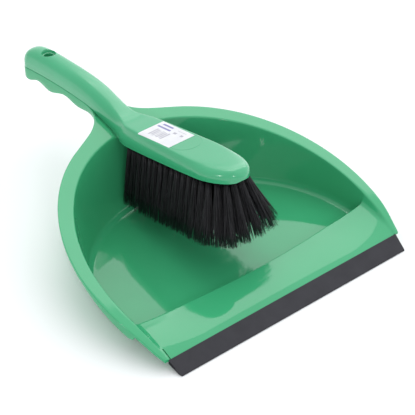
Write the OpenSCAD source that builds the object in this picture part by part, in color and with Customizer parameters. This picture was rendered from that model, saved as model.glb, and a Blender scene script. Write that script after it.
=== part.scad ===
// Dust pan and brush set: a wide D-shaped dust pan with a rubber lip, and a soft hand brush
// whose handle nests on the pan's handle. Millimetres, +Z up, the ground is Z = 0.
// X runs across the pan, the scraping edge faces -Y and both handles point to +Y.
// All sections are worked out at a distance y behind the scraping edge. place() then moves
// the set so that the origin is the bottom centre of its bounding box.

/* [Pan] */
// Width of the scraping edge
lip_width = 240; // [230:1:250]
// Height of the moulded edge that holds the rubber lip
lip_rise = 8.8; // [8:0.1:9.5]
// Height of the ridge that holds the dust back
ridge_height = 12.3; // [11:0.1:14]
// Wall thickness of the pan
pan_wall = 2.2; // [1.8:0.1:2.4]
// Radius between the floor and the wall
floor_fillet = 8; // [5:0.5:10]
// Drop of the skirt under the rim, along the back of the bowl
rim_skirt = 3.5; // [3:0.1:5]
// Drop of the skirt at its front ends
front_skirt = 8; // [6:0.5:9]

/* [Handles] */
// Half the width of both handles
grip_half = 11; // [10:0.5:12]
// Radius of the hanging hole through both handles
hang_hole_r = 4.5; // [3.5:0.1:4.7]
// Radius of the dish around the hole in the brush handle
hang_dish_r = 7.4; // [6.5:0.1:8]

/* [Brush] */
// Wall thickness of the hollow brush handle
brush_wall = 2.3; // [2:0.1:2.8]
// Rows of bristle tufts
row_count = 17; // [12:1:17]
// Free length of the bristles
bristle_length = 53; // [40:1:53]
// Radius of a tuft hole
tuft_hole_r = 2.1; // [1.6:0.1:2.2]
// Depth of a tuft hole
tuft_depth = 7.5; // [5:0.5:7.5]

/* [Label] */
// Width of the paper label
label_width = 28.5; // [20:0.5:29]
// Length of the paper label
label_length = 40; // [30:1:42]

/* [Hidden] */

set_length = 352;
lip_depth = 13.7;
joint_gap = 0.1;
nest_gap = 0.4;
tiny = 0.05;

// Plan outlines: each is a half-ellipse behind its widest line, [half width, reach, widest y],
// and a slow inward curve in front of it.
floor_plan = [122, 120, 72];
rim_plan = [126, 143, 70];
flange_plan = [136.4, 150.5, 76];
floor_taper = 0.0006;
rim_taper = 0.0011;
flange_taper = 0.0028;

// Rim and handle deck height at y: the rim falls to the lip and runs into the level handle.
deck_line = [
    [13.7, 9.6], [22.6, 13.4], [31.7, 17.9], [41, 21.6], [52, 24.8], [78, 31.5], [128, 43.9],
    [178, 56.3], [226, 68.1], [236, 70.5], [246, 72.7], [258, 74], [282, 74.3], [300, 73.8],
    [316, 72.9], [332, 71.5], [346, 69.8], [353, 69]
];
// Half width of the neck, where the flange narrows into the handle.
neck_start = 206;
neck_line = [[217, 48], [222, 37.5], [227, 28], [233, 20.3], [241, 14.4], [250, 11.8], [262, 11]];
// Drop of the handle's skirt: three finger lobes.
lobe_line = [
    [225, 3.8], [238, 4.6], [251, 6], [268, 8.8], [287, 6.2], [308, 11.6], [325, 7.6], [338, 11],
    [346, 9.4], [353, 7]
];
skirt_front = 41;
skirt_full = 48;
skirt_back = 110;
least_skirt = pan_wall + 0.2;
fillet_share = 0.3;

// Shares of the half width for the points across the floor or deck, the same over the rib,
// and the spacing of the points from there to the rim's edge.
across = [0, 0.2, 0.42, 0.62, 0.8, 0.93];
rib_across = [0, 0.5, 1, 1.12, 1.5, 1.8];
levels = [0, 0.35, 0.65, 1, 1.5, 3.2, 5, 6.6];
edge_points = 4;

ramp_back = 5.5;
ridge_y = 50;
ridge_bow = 4;
ridge_bow_x = 80;
side_rise_x = 75;
side_rise = 0.0037;
edge_round = 0.8;
bed_drop = 1.5;
bed_rise = 238;
bed_end = 250;
bed_margin = 2.2;
bed_rim = 1.2;
rib_start = 262;
rib_end = 308;
rib_half = 4;
rib_height = 6;
boss_r = 6.3;
boss_top = 83.5;
hang_y = 322;
grip_tip = 341;
tip_flat = 2.2;
tongue_thick = 1.3;
tongue_reach = 5.6;
tongue_half = 117;
tongue_cover = 0.9;
lip_tip = 0.9;
lip_slope = (lip_rise - lip_tip) / lip_depth;
lip_toe = 3;
lip_back_low = 5;
lip_flare = 2.2;
slot_clear = 1.6;

// Brush outlines at y, from the nose to the handle's tip.
brush_top = [
    [66, 94.5], [68, 97.2], [72, 99.4], [82, 98.8], [95, 96.8], [161, 86.7], [190, 82.3],
    [204, 80.2], [214, 80.9], [224, 83.2], [238, 87], [254, 90.6], [272, 92.3], [296, 92.2],
    [322, 90.4], [336, 88], [344, 84.8], [349, 80.5], [351.9, 75.5]
];
stock_bottom = [
    [66, 91.5], [68, 89.9], [72, 89], [84, 86.8], [196, 64.4], [204, 63.3], [213, 63.8]
];
brush_half_line = [
    [102, 20.5], [120, 20.3], [150, 19.4], [180, 17.9], [196, 16.4], [206, 14.6], [218, 12.6],
    [232, 11.3], [246, 11]
];
nose_y = 66;
nose_round = 102;
nose_dome = 0.85;
heel_start = 200;
heel_end = 236;
grip_band = 6;
stock_band = 4;
panel_inset = 3.4;
dome_power = 2.3;
cavity_front = 222;
stock_end = 213;
dome_angles = [0, 18, 36, 52, 66, 78, 90];
arch = [[1, 0], [1, 0.42], [0.93, 0.68], [0.74, 0.88], [0.48, 0.97], [0.24, 1], [0.12, 1], [0, 1]];
hang_dish_depth = 4;
brush_boss_r = 8;
brush_boss_bottom = 84.2;
boss_height = 4;

panel_slope = atan((brush_top[4][1] - brush_top[5][1]) / (brush_top[5][0] - brush_top[4][0]));
label_x = -1.2;
label_y = 161;
label_thick = 0.15;
mark_y = 138;
mark_r = 14;
mark_width = 0.8;
mark_depth = 0.35;
round_sides = 48;
hole_sides = 14;
tuft_sides = 8;
cut_over = 1;

first_row = 76;
last_row = 194;
row_pitch = (last_row - first_row) / (row_count - 1);
tuft_pitch = 6.4;
hole_margin = 4.1;
tuft_r = tuft_hole_r - 0.08;
tuft_tip_r = 3.3;
heel_side_lean = 0.24 / 15;
nose_side_lean = 0.35 / 15;
heel_front_lean = 0.2;
nose_front_lean = 0.36;
fan_start = 120;
fan_length = 44;
anchor_size = [3.4, 1.2, 0.5];

pan_green = [0.16, 0.62, 0.40];
brush_green = [0.20, 0.68, 0.46];
lip_black = [0.10, 0.10, 0.11];
bristle_black = [0.05, 0.05, 0.05];
wire_steel = [0.75, 0.75, 0.77];
paper_white = [0.94, 0.94, 0.93];

function two_digits(i) = i < 10 ? str("0", i) : str(i);
function mix(a, b, t) = a + (b - a) * t;
function unit(t) = min(1, max(0, t));
function ease(t) = let (u = unit(t)) u * u * (3 - 2 * u);

// A smooth curve through hand-placed points: cubic pieces whose slopes match at every point.
function piece(y, p, i = 0) = i >= len(p) - 2 || y < p[i + 1][0] ? i : piece(y, p, i + 1);
function slope(p, i) =
    let (a = max(0, i - 1), b = min(len(p) - 1, i + 1))
    (p[b][1] - p[a][1]) / (p[b][0] - p[a][0]);
function curve(y, p) =
    let (
        i = piece(y, p),
        h = p[i + 1][0] - p[i][0],
        t = unit((y - p[i][0]) / h),
        m0 = slope(p, i) * h,
        m1 = slope(p, i + 1) * h
    )
    mix(p[i][1], p[i + 1][1], t * t * (3 - 2 * t)) + m0 * t * (1 - t) * (1 - t) - m1 * t * t * (1 - t);

// Half width of an outline [half width, reach, widest y] at y; 0 behind its back.
function quarter(t) = sqrt(max(0, 1 - t * t));
function plan_x(y, p, taper) =
    y < p[2] ? p[0] - taper * pow(p[2] - y, 2) : p[0] * quarter((y - p[2]) / p[1]);
function grown(p, d) = [p[0] + d, p[1] + d, p[2]];

function deck_z(y) = curve(y, deck_line);
function tip_x(y, half, start, end) =
    y <= start ? half : max(tip_flat, half * quarter((y - start) / (end - start)));
function flange_x(y) =
    let (
        rear = [for (q = [neck_start - 6, neck_start, neck_start + 6]) [q, plan_x(q, flange_plan, 0)]],
        joined = concat(rear, neck_line)
    )
    y < neck_start ? plan_x(y, flange_plan, flange_taper)
    : y < grip_tip ? curve(y, joined)
    : tip_x(y, grip_half, grip_tip, set_length);
function skirt_drop(y) =
    y < skirt_front ? least_skirt
    : y < skirt_full ? mix(least_skirt, front_skirt, quarter((skirt_full - y) / (skirt_full - skirt_front)))
    : y < skirt_back ? mix(front_skirt, rim_skirt, ease((y - skirt_full) / (skirt_back - skirt_full)))
    : y < lobe_line[0][0] ? rim_skirt
    : curve(y, lobe_line);

// Top of the floor, ridge and ramp.
function ridge_at(x) = ridge_y + ridge_bow * unit(pow(x / ridge_bow_x, 2));
function side_lift(x) = side_rise * pow(max(0, abs(x) - side_rise_x), 2);
function floor_z(x, y) =
    let (r = ridge_at(x), crest = ridge_height + side_lift(x), u = (y - lip_depth) / (r - lip_depth))
    y <= r ? mix(lip_rise, crest, u) : mix(crest, pan_wall, unit((y - r) / ramp_back));

// Bowl wall at level s: 0 is the edge of the flat floor, the first part is the fillet and
// 1 is the rim. out = 0 is the inner face and out = pan_wall is the outer face.
function wall_plan(s, out) =
    let (
        r = floor_fillet + out,
        phi = 90 * unit(s / fillet_share),
        t = unit((s - fillet_share) / (1 - fillet_share))
    )
    s < fillet_share ? grown(floor_plan, out - r * (1 - sin(phi)))
                     : mix(grown(floor_plan, out), grown(rim_plan, out), t);
function wall_taper(s) = mix(floor_taper, rim_taper, s);
function wall_x(s, y, out) = plan_x(y, wall_plan(s, out), wall_taper(s));
function wall_z(s, y, out) =
    let (
        base = floor_z(floor_plan[0], y + out / 2) - out,
        top = deck_z(y) - out,
        r = (floor_fillet + out) * (top - base) / (top - pan_wall + out),
        phi = 90 * unit(s / fillet_share)
    )
    s < fillet_share ? base + r * (1 - cos(phi))
                     : mix(base + r, top, (s - fillet_share) / (1 - fillet_share));
function apex(s, out) = let (p = wall_plan(s, out)) p[1] + p[2];
// The level whose outline passes through (x, y), found by halving.
function level_at(x, y, out, lo = 0, hi = 1, n = 16) =
    n == 0 ? (lo + hi) / 2
    : let (m = (lo + hi) / 2)
      wall_x(m, y, out) < x ? level_at(x, y, out, m, hi, n - 1) : level_at(x, y, out, lo, m, n - 1);

function level(k, start) = start + (1 - start) * levels[k] / levels[len(levels) - 1];

// The bed for the brush's neck: its half width, and its depth, which runs out at the handle.
function bed_x(y) = brush_half(y) + bed_margin;
function bed_drop_at(y) = bed_drop * (1 - ease((y - bed_rise) / (bed_end - bed_rise)));
function on_rib(y) = y > rib_start && y < rib_end;

// Half of the upper face at y, from the middle to the skirt's foot.
function upper_half(y) = y < apex(1, 0) ? bowl_half(y, 0) : deck_half(y);
function lower_half(y) = y < apex(1, pan_wall) ? bowl_half(y, pan_wall) : hollow_half(y);

function bowl_half(y, out) =
    let (
        low = apex(0, out),
        start = y < low - 1 ? 0 : mix(level_at(0.5, y, out), 1, 0.12),
        edge = max(1, wall_x(start, y, out)),
        z_at = function (x) y < low - 1 ? floor_z(x, y + out / 2) - out
                                        : wall_z(level_at(max(x, 0.5), y, out), y, out),
        fx = flange_x(y),
        z = deck_z(y),
        foot = z - skirt_drop(y)
    )
    concat(
        [for (a = across) [a * edge, z_at(a * edge)]],
        [for (k = [0:len(levels) - 2])
            let (s = level(k, start))
            [max(wall_x(s, y, out), edge + k * tiny), wall_z(s, y, out)]],
        out > 0
            ? [[min(wall_x(1, y, out), fx - pan_wall - 2 * tiny), z - out],
               [fx - pan_wall - tiny, z - out - tiny],
               [fx - pan_wall, mix(z - out, foot, 0.5)],
               [fx - pan_wall, foot]]
            : [[min(wall_x(1, y, 0) + edge_round, fx - edge_round - tiny), z],
               [fx - edge_round, z],
               [fx, z - edge_round],
               [fx, foot]]
    );

function deck_half(y) =
    let (
        fx = flange_x(y),
        z = deck_z(y),
        bed = y < bed_end && y > apex(1, 0),
        bx = bed ? min(bed_x(y), fx - bed_rim) : 0,
        drop = bed ? bed_drop_at(y) : 0,
        rib = on_rib(y),
        count = len(levels) - 1,
        inner = bed ? bx : rib ? rib_half : 0.5 * fx,
        last = fx - edge_round
    )
    concat(
        rib ? [for (i = [0:len(across) - 1]) [rib_across[i] * rib_half, z + (i < 3 ? rib_height : 0)]]
            : [for (a = across) [a * inner, z - drop]],
        [for (k = [0:count - 1])
            let (start = rib ? 2 * rib_half : inner)
            [mix(start, last, k / (count + 1)), z - (k == 0 ? drop : 0)]],
        [[mix(rib ? 2 * rib_half : inner, last, count / (count + 1)), z],
         [last, z],
         [fx, z - edge_round * unit(fx / 3)],
         [fx, z - skirt_drop(y)]]
    );

// Underside of the handle: an inverted U that closes at the tip.
function hollow_half(y) =
    let (
        fx = flange_x(y),
        closed = y > set_length - pan_wall,
        inner = closed ? fx * 0.8 : tip_x(y, fx - pan_wall, grip_tip, set_length - pan_wall),
        ix = max(closed ? fx * 0.8 : 0.6, min(inner, fx - 0.5 * min(fx, pan_wall))),
        foot = deck_z(y) - skirt_drop(y),
        roof = closed ? foot + tiny : deck_z(y) - pan_wall,
        count = len(across) + len(levels) + 1
    )
    concat(
        [for (i = [0:count - 1]) [ix * i / (count - 0.5), roof]],
        [[ix, mix(roof, foot, 0.5)], [ix + (closed ? tiny : 0), closed ? roof : foot]]
    );

// The tongue in the lip's slot, as one more section in front of the ramp.
function tongue_half_section(y, out) =
    let (
        count = len(across) + len(levels) - 1 + edge_points,
        z = lip_rise - tongue_cover - (lip_depth - y) * lip_slope - (out > 0 ? tongue_thick : 0)
    )
    [for (i = [0:count - 1]) [tongue_half * i / (count - 1), z]];

function full_width(half) =
    concat([for (i = [len(half) - 1:-1:1]) [-half[i][0], half[i][1]]], half);
function ring(top, bottom, y) =
    let (t = full_width(top), b = full_width(bottom))
    concat([for (p = t) [p[0], y, p[1]]], [for (i = [len(b) - 1:-1:0]) [b[i][0], y, b[i][1]]]);

// A closed skin over rings of equal length.
module skin(rings) {
    n = len(rings[0]);
    m = len(rings);
    points = [for (r = rings) each r];
    sides = [for (j = [0:m - 2]) for (i = [0:n - 1])
        let (a = j * n + i, b = j * n + (i + 1) % n)
        each [[a, b + n, b], [a, a + n, b + n]]];
    // The two halves of an end ring mirror each other, so a strip of quads closes it.
    half = n / 2;
    cap = function (first) [for (i = [0:half - 2])
        let (a = first + i, b = first + i + 1, c = first + n - 1 - i - 1, d = first + n - 1 - i)
        each [[a, c, d], [a, b, c]]];
    back = function (first) [for (f = cap(first)) [f[2], f[1], f[0]]];
    polyhedron(points, concat(sides, cap(0), back((m - 1) * n)), convexity = 12);
}

module place() {
    translate([0, -set_length / 2, 0]) children();
}

ramp_stations = [lip_depth, 20, 27, 34, 41, 43, 45.5, 48, 50, 52, 54, 55.5, 57, 59.5, 62];
bowl_stations = concat([for (y = [72:12:180]) y], [186, 190.5, 192.5, 195, 198, 201, 204, 207, 210, 212.6]);
neck_stations = [213.2, 215, 215.6, 218, 222, 226, 230, 234, bed_rise, 241, 244, 247, bed_end, 256];
grip_stations = concat(
    [rib_start - tiny, rib_start + tiny],
    [for (y = [268:6:304]) y],
    [rib_end - tiny, rib_end + tiny],
    [for (y = [314:6:338]) y],
    [grip_tip, 344.5, 347, 349],
    [set_length - pan_wall, set_length - pan_wall + tiny, 351, set_length]
);

module pan_shell() {
    stations = concat(ramp_stations, bowl_stations, neck_stations, grip_stations);
    tongue = [for (y = [tongue_reach + 2, lip_depth - tiny])
        ring(tongue_half_section(y, 0), tongue_half_section(y, 1), y)];
    body = [for (y = stations) ring(upper_half(y), lower_half(y), y)];
    skin(concat(tongue, body));
}

// Opens the bed through the rim at the back of the bowl.
module bed_mouth() {
    back = apex(1, 0) + edge_round;
    half = bed_x(back) - tiny;
    translate([-half, back - 2 * bed_margin, deck_z(back) - bed_drop - tiny])
        cube([2 * half, 2 * bed_margin, 2 * bed_drop]);
}

module dustpan() {
    color(pan_green) place() {
        difference() {
            union() {
                pan_shell();
                translate([0, hang_y, deck_z(hang_y) - pan_wall / 2])
                    cylinder(r = boss_r, h = boss_top - deck_z(hang_y) + pan_wall / 2, $fn = round_sides);
            }
            translate([0, hang_y, deck_z(hang_y) - pan_wall - cut_over])
                cylinder(r = hang_hole_r, h = boss_top, $fn = round_sides);
            bed_mouth();
        }
    }
}

// Rubber blade: its slot grips the pan's tongue and its flat toe lies on the ground.
module rubber_lip() {
    back_y = lip_depth - joint_gap;
    slot_top = lip_rise - lip_tip + joint_gap;
    slot_low = slot_top - tongue_thick - 2 * joint_gap;
    slot_end = tongue_reach + slot_clear;
    run = (back_y - slot_end) * lip_slope;
    profile = [
        [0, 0],
        [lip_toe, 0],
        [back_y, lip_back_low],
        [back_y, slot_low],
        [slot_end, slot_low - run],
        [slot_end, slot_top - run],
        [back_y, slot_top],
        [back_y, lip_rise],
        [0, lip_tip]
    ];
    half = lip_width / 2;
    reach = half + lip_flare;
    plan = [[-half, 0], [half, 0], [reach, back_y], [-reach, back_y]];
    color(lip_black) place() intersection() {
        rotate([90, 0, 90]) translate([0, 0, -reach]) linear_extrude(2 * reach) polygon(profile);
        translate([0, 0, -cut_over]) linear_extrude(2 * lip_rise) polygon(plan);
    }
}

function brush_half(y) =
    y < nose_round
        ? brush_half_line[0][1] * quarter((nose_round - y) / (nose_round - nose_y))
        : y < grip_tip ? curve(y, brush_half_line)
        : tip_x(y, grip_half, grip_tip, set_length - nest_gap);
function brush_low(y) =
    y < stock_end ? curve(y, stock_bottom) : deck_z(y) + nest_gap - bed_drop_at(y);
function brush_high(y) = curve(y, brush_top);

// Half of the brush's section at y: from the lower edge up over the top.
function brush_half_section(y) =
    let (
        b = max(brush_half(y), 0.4),
        z0 = brush_low(y),
        z1 = brush_high(y),
        h = z1 - z0,
        s = max(
            ease((y - heel_start) / (heel_end - heel_start)),
            nose_dome * ease((fan_start - y) / fan_length)
        ),
        band = min(h * 0.35, mix(stock_band, grip_band, s)),
        a = b - min(panel_inset, b * 0.3),
        dome = [for (d = dome_angles)
            [b * pow(cos(d), 2 / dome_power), z0 + band + (h - band) * pow(sin(d), 2 / dome_power)]],
        slab = [
            [b, z0 + band],
            [mix(b, a, 0.25), z0 + mix(band, h, 0.45)],
            [mix(b, a, 0.8), z1 - 0.14 * h],
            [a - 0.02 * b, z1 - 0.05 * h],
            [a * 0.9, z1],
            [a * 0.5, z1],
            [0, z1]
        ]
    )
    concat([[b, z0]], mix(slab, dome, s));
function brush_hollow(y) =
    let (
        b = max(brush_half(y), 0.4),
        z0 = brush_low(y),
        hollow = y > cavity_front && y < set_length - nest_gap - brush_wall,
        tip = tip_x(y, grip_half - brush_wall, grip_tip, set_length - nest_gap - brush_wall),
        w = hollow ? max(0.5, min(b - brush_wall, tip)) : 0.8 * b,
        roof = hollow ? max(z0 + 1, brush_high(y) - brush_wall) : z0 + tiny,
        foot = hollow ? z0 : z0 + tiny,
        last = len(arch) - 1
    )
    [for (k = [0:last]) [w * (hollow ? arch[k][0] : 1 - k / last), mix(foot, roof, arch[k][1])]];

nose_stations = [66.1, 66.6, 67.5, 69, 71, 74, 78, 83, 88, 94, nose_round];
stock_stations = concat([for (y = [112:14:182]) y, 188], [194, 199, 204, 208, 213, 218]);
handle_stations = concat(
    [cavity_front, cavity_front + tiny, 228, 234, bed_rise, 241, 244, 247, bed_end, 256],
    [for (y = [262:10:332]) y],
    [337, grip_tip, 344, 346.5, 348.5, 349.2, 349.35, 350.3, 351, set_length - nest_gap]
);

module brush_shell() {
    stations = concat(nose_stations, stock_stations, handle_stations);
    rings = [for (y = stations)
        let (outer = brush_half_section(y), inner = brush_hollow(y), k = len(outer) - 1)
        concat(
            [for (i = [0:k]) [-outer[i][0], y, outer[i][1]]],
            [for (i = [k - 1:-1:0]) [outer[i][0], y, outer[i][1]]],
            [for (p = inner) [p[0], y, p[1]]],
            [for (i = [len(inner) - 2:-1:0]) [-inner[i][0], y, inner[i][1]]]
        )];
    skin(rings);
}

// Tufts: position and lean of each one in a row.
function row_y(i) = first_row + (row_count - i) * row_pitch;
function row_reach(i) = brush_half(row_y(i)) - hole_margin;
function row_tufts(i) = floor(2 * row_reach(i) / tuft_pitch) + 1;
function tuft_x(i, k) = row_reach(i) * (2 * k / (row_tufts(i) - 1) - 1);
function nose_share(i) = ease((fan_start - row_y(i)) / fan_length);
function side_lean(i) = mix(heel_side_lean, nose_side_lean, nose_share(i));
function front_lean(i) = mix(heel_front_lean, nose_front_lean, nose_share(i));
function tuft_axis(i, k) = [side_lean(i) * tuft_x(i, k), -front_lean(i), -1];

// Turns children's +Z to the tuft's own axis at its root on the underside of the stock.
module at_tuft(i, k) {
    axis = tuft_axis(i, k);
    translate([tuft_x(i, k), row_y(i), brush_low(row_y(i))])
        rotate([0, 180 - atan(norm([axis[0], axis[1]])), atan2(axis[1], axis[0])])
            children();
}

module tuft_holes() {
    for (i = [1:row_count])
        for (k = [0:row_tufts(i) - 1])
            at_tuft(i, k) translate([0, 0, -tuft_depth])
                cylinder(r = tuft_hole_r, h = tuft_depth + 4 * cut_over, $fn = hole_sides);
}

module on_panel(x, y) {
    translate([x, y, brush_high(y)]) rotate([-panel_slope, 0, 0]) children();
}

module mould_mark() {
    on_panel(0, mark_y) rotate_extrude($fn = round_sides)
        translate([mark_r - mark_width, -mark_depth]) square([mark_width, 1]);
}

module brush_handle() {
    color(brush_green) place() difference() {
        union() {
            brush_shell();
            translate([0, hang_y, brush_boss_bottom])
                cylinder(r = brush_boss_r, h = boss_height, $fn = round_sides);
        }
        translate([0, hang_y, brush_boss_bottom - cut_over])
            cylinder(r = hang_hole_r, h = 20, $fn = round_sides);
        translate([0, hang_y, brush_high(hang_y) - hang_dish_depth])
            cylinder(r1 = hang_hole_r, r2 = hang_dish_r + 1.5, h = hang_dish_depth + 2, $fn = round_sides);
        tuft_holes();
        mould_mark();
    }
}

module label() {
    color(paper_white) place()
        on_panel(label_x, label_y) translate([-label_width / 2, -label_length / 2, 0.02])
            cube([label_width, label_length, label_thick]);
}

module tuft_row(i) {
    root = tuft_depth - anchor_size[2] - 0.1;
    color(bristle_black) place()
        for (k = [0:row_tufts(i) - 1])
            at_tuft(i, k) {
                translate([0, 0, -root]) cylinder(r = tuft_r, h = root, $fn = tuft_sides);
                cylinder(r1 = tuft_r, r2 = tuft_tip_r, h = bristle_length, $fn = tuft_sides);
            }
}

module anchor_row(i) {
    color(wire_steel) place()
        for (k = [0:row_tufts(i) - 1])
            at_tuft(i, k)
                translate([-anchor_size[0] / 2, -anchor_size[1] / 2, 0.02 - tuft_depth])
                    cube(anchor_size);
}

dustpan();
rubber_lip();
brush_handle();
label();
for (i = [1:row_count]) tuft_row(i);
for (i = [1:row_count]) anchor_row(i);
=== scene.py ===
"""Dust pan and brush set: the visual model around the CAD frame.

Sections are worked out in millimetres at a distance y behind the scraping edge, as in the
CAD source, and place() turns them into metres in the CAD frame.
"""
import math

import bmesh
import bpy
import numpy as np
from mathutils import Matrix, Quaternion, Vector


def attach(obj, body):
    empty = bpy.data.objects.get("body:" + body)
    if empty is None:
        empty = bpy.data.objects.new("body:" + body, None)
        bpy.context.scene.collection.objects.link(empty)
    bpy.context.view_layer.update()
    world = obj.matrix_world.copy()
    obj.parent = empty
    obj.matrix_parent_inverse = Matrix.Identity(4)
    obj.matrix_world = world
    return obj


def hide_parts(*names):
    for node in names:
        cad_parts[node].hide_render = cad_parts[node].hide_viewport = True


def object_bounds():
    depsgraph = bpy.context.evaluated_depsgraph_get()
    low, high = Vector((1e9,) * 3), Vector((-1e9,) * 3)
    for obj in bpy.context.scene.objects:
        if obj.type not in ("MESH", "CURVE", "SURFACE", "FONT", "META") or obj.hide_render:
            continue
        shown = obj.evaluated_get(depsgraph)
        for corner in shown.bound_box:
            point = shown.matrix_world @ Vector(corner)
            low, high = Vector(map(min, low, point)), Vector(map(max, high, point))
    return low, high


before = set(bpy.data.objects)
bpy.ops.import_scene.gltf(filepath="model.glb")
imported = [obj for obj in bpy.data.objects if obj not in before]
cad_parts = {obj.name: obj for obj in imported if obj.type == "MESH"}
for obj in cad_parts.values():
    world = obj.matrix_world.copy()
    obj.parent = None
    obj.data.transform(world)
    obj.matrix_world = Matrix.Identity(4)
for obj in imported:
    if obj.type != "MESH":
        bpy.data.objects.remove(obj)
cad_box = [[float(v) for v in corner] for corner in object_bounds()]

MM = 0.001
SCRAPE_Y = cad_box[0][1] / MM
SET_LENGTH = (cad_box[1][1] - cad_box[0][1]) / MM
rng = np.random.default_rng(7)

# ---------------------------------------------------------------- design values, in millimetres
# Height of the pan's deck along the set, as (distance behind the scraping edge, height).
DECK = [
    (13.7, 9.6), (22.6, 13.4), (31.7, 17.9), (41, 21.6), (52, 24.8), (78, 31.5), (128, 43.9),
    (178, 56.3), (226, 68.1), (236, 70.5), (246, 72.7), (258, 74), (282, 74.3), (300, 73.8),
    (316, 72.9), (332, 71.5), (346, 69.8), (353, 69),
]
# Half width of the flange where it narrows into the handle, from NECK_START on.
NECK = [(217, 48), (222, 37.5), (227, 28), (233, 20.3), (241, 14.4), (250, 11.8), (262, 11)]
NECK_START, NECK_BLEND, NECK_END = 206.0, 6.0, 262.0
# Depth of the skirt below the deck along the handle, with the finger lobes.
LOBES = [
    (225, 3.8), (238, 4.6), (251, 6), (268, 8.8), (287, 6.2), (308, 11.6), (325, 7.6), (338, 11),
    (346, 9.4), (353, 7),
]
# Plans of the bowl: half width, depth of the round back, and where the round back starts.
FLOOR_PLAN, RIM_PLAN, FLANGE_PLAN = (122, 120, 72), (126, 143, 70), (136.4, 150.5, 76)
# How much each plan's sides draw in towards the lip.
FLOOR_TAPER, RIM_TAPER, FLANGE_TAPER = 0.0006, 0.0011, 0.0028
WALL = 2.2
FILLET = 8.0
EDGE_ROUND = 0.8
RIM_BEND, RIM_BEND_OUTER = 1.3, 0.8
# Points across each part of the bowl's section.
FILLET_STEPS, WALL_STEPS, BEND_STEPS, FLANGE_STEPS, FLOOR_STEPS = 10, 9, 6, 7, 27

# Rubber lip: depth, height at the back, thickness at the edge, and half its width.
LIP_DEPTH, LIP_RISE, LIP_TIP, LIP_HALF = 13.7, 8.8, 0.9, 120.0
LIP_SLOPE = (LIP_RISE - LIP_TIP) / LIP_DEPTH
LIP_FLARE = 2.2
TONGUE_FRONT, TONGUE_HALF, TONGUE_THICK, TONGUE_COVER = 7.6, 117, 1.3, 0.9

# Ramp from the lip up to the ridge, which bows forward in the middle.
RIDGE_Y, RIDGE_BOW, RIDGE_BOW_X, RIDGE_HEIGHT, RIDGE_BACK = 50.0, 4.0, 80.0, 13.1, 5.5
RIDGE_ROUND = 0.8
RAMP_SHAPE = [(0, 0), (0.08, 0.2), (0.2, 0.415), (0.4, 0.635), (0.7, 0.86), (1, 1)]
RAMP_FOOT = 8.1
SIDE_RISE, SIDE_RISE_X = 0.0022, 75.0

# Skirt under the flange: where it starts and is full, and its depth in front and at the back.
SKIRT_FRONT, SKIRT_FULL, SKIRT_BACK = 41.0, 48.0, 110.0
FRONT_SKIRT, RIM_SKIRT = 8.0, 3.5

# Pan handle, the bed for the brush's neck, and what locates the brush.
GRIP_HALF, GRIP_TIP, NEST_GAP = 11.0, 341.0, 0.4
BED_DROP, BED_RISE, BED_END, BED_MARGIN, BED_RIM = 1.5, 238.0, 250.0, 2.2, 1.2
HANG_Y, HANG_R, HANG_DISH_R, HANG_DISH_DEPTH = 322.0, 4.5, 6.9, 4.0
PAN_BOSS_TOP = 83.5
RIB_FRONT, RIB_BACK, RIB_HEIGHT = 262.0, 308.0, 6.0

# Slot at the left end of the lip's seat.
SLOT_LEFT, SLOT_RIGHT, SLOT_DEEP, SLOT_CLEAR = -120.6, -119.5, 1.5, 12
SLOT_STATIONS = (12.8, 16.0, 19.5, 23.0)

# Brush: heights of its top and of the stock's underside, and its half width.
BRUSH_TOP = [
    (66, 94.5), (68, 97.2), (72, 99.4), (82, 98.8), (95, 96.8), (161, 86.7), (190, 82.3),
    (204, 80.2), (214, 80.9), (224, 83.2), (238, 87), (254, 90.6), (272, 92.3), (296, 92.2),
    (322, 91.2), (336, 89.2), (344, 86.2), (349, 82), (351.9, 76.5),
]
STOCK_BOTTOM = [(66, 91.5), (68, 89.9), (72, 89), (84, 86.8), (196, 64.4), (204, 63.3), (213, 63.8)]
STOCK_END = 213.0
BRUSH_HALF = [
    (102, 20.5), (120, 20.3), (150, 19.4), (180, 18.1), (195, 17), (203, 15.6), (210, 13.1),
    (217, 11.5), (226, 11), (246, 11),
]
NOSE_Y, NOSE_ROUND, NOSE_DOME = 66.0, 102.0, 0.85
# The section turns into a dome behind DOME_Y and, by NOSE_DOME, in front of BLUNT_Y.
DOME_Y, DOME_RUN, DOME_POWER = 200, 36, 2 / 2.3
BLUNT_Y, BLUNT_RUN = 120, 44
BRUSH_WALL, CAVITY_FRONT = 2.3, 222.0
BRUSH_END = SET_LENGTH - NEST_GAP
CAVITY_BACK = BRUSH_END - BRUSH_WALL
# The handle's hollow, as shares of its half width and of its height.
ARCH = [
    (1, 0), (1, 0.2), (1, 0.42), (0.97, 0.56), (0.92, 0.69), (0.84, 0.8), (0.72, 0.89),
    (0.56, 0.95), (0.38, 0.99), (0.2, 1), (0.1, 1), (0, 1),
]
BRUSH_BOSS_R, BRUSH_BOSS_LOW = 6.8, 84.2
MARK_Y, MARK_R = 138.0, 13.6

# Tufts and their filaments.
ROWS, FIRST_ROW, LAST_ROW = 17, 76.0, 194.0
TUFT_PITCH, HOLE_MARGIN, BRISTLE = 6.4, 4.1, 53.0
FILAMENTS, FILAMENT_SIDES, TUFT_R, ROOT_DEPTH = 76, 3, 1.75, 2.0
FILAMENT_STEPS = np.array([0.0, 0.22, 0.48, 0.76, 1.0])
# Slope of a tuft SPLAY_X from the middle, and its lean forward, along the stock and at the
# nose; and how much less it leans at the heel.
SIDE_SPLAY, SPLAY_X, LEAN, HEEL_LEAN = (0.24, 0.38), 15, (0.2, 0.44), 0.05
HEEL_Y, HEEL_RUN = 172, 22
FAN_Y, FAN_RUN = 128, 44

# Label: width, length, size of a print cell, thickness, and where its middle lies.
LABEL_WIDE, LABEL_LONG, LABEL_CELL, LABEL_THICK = 27.5, 40.0, 0.5, 0.14
LABEL_X, LABEL_Y = -0.7, 161.0


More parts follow.
